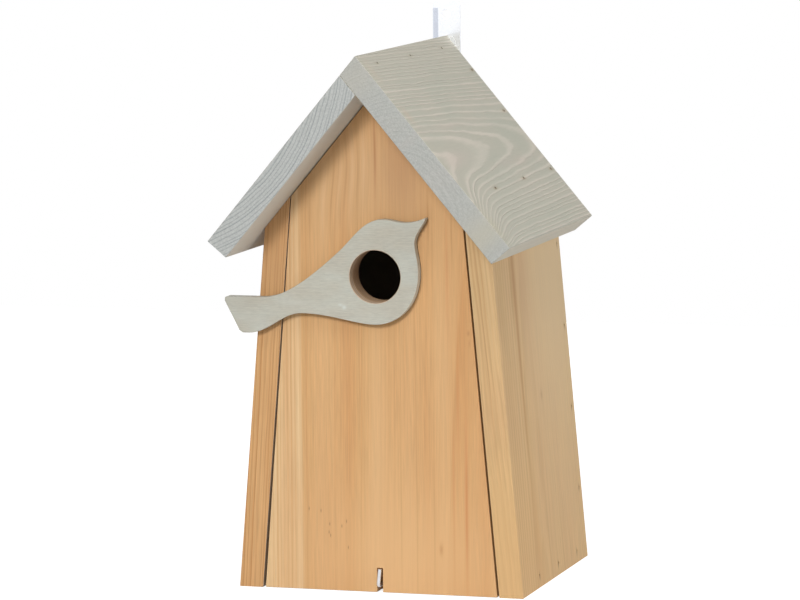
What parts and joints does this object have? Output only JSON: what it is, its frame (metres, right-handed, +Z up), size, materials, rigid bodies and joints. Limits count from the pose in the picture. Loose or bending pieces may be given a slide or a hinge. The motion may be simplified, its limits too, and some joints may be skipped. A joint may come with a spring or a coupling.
{
  "type": "birdhouse",
  "caption": "Wooden nesting box with leaning sides, a steep gable roof, a bird-shaped plate round the entrance, a swing-up front panel and a steel hanger strap.",
  "frame": {"origin": "middle of the base, in the plane that the box stands on, halfway between the side panels' front edges and the back", "axes": "+Z up, front panel towards -Y, +X to the right as seen from the front"},
  "size_m": [0.1888, 0.1938, 0.3503],
  "materials": {
    "front_wood": "planed, untreated",
    "side_wood": "planed faces, sawn edges, untreated",
    "roof_stain": "brushed, grey-green translucent stain",
    "bird_stain": "planed, grey-green translucent stain",
    "zinc_steel": "bright zinc plate",
    "nail_steel": "galvanised wire nail",
    "brad_steel": "bare wire brad"
  },
  "bodies": {
    "case": {"side_panel_left": "side_wood", "side_panel_right": "side_wood", "back_panel": "side_wood", "floor_board": "side_wood", "roof_board_left": "roof_stain", "roof_board_right": "roof_stain", "pivot_nail_left": "nail_steel", "pivot_nail_right": "nail_steel", "hanger_strap": "zinc_steel", "hanger_screws": "zinc_steel", "ridge_brads": "brad_steel", "gable_brads": "brad_steel", "eave_brads_left": "brad_steel", "eave_brads_right": "brad_steel", "back_brads_left": "brad_steel", "back_brads_right": "brad_steel", "floor_brads_left": "brad_steel", "floor_brads_right": "brad_steel", "floor_brads_back": "brad_steel"},
    "front": {"front_panel": "front_wood", "bird_plate": "bird_stain", "bird_brads": "brad_steel"},
    "latch": {"latch_hook": "zinc_steel"}
  },
  "joints": [
    {"name": "front_swing", "type": "hinge", "parent": "case", "child": "front", "pos_m": [0, -0.0704, 0.20796], "axis": [-1, 0, 0], "range_deg": [0, 60]},
    {"name": "latch_turn", "type": "hinge", "parent": "case", "child": "latch", "pos_m": [-0.0005, -0.07795, 0.0045], "axis": [0, 1, 0], "range_deg": [-96, 84]}
  ]
}
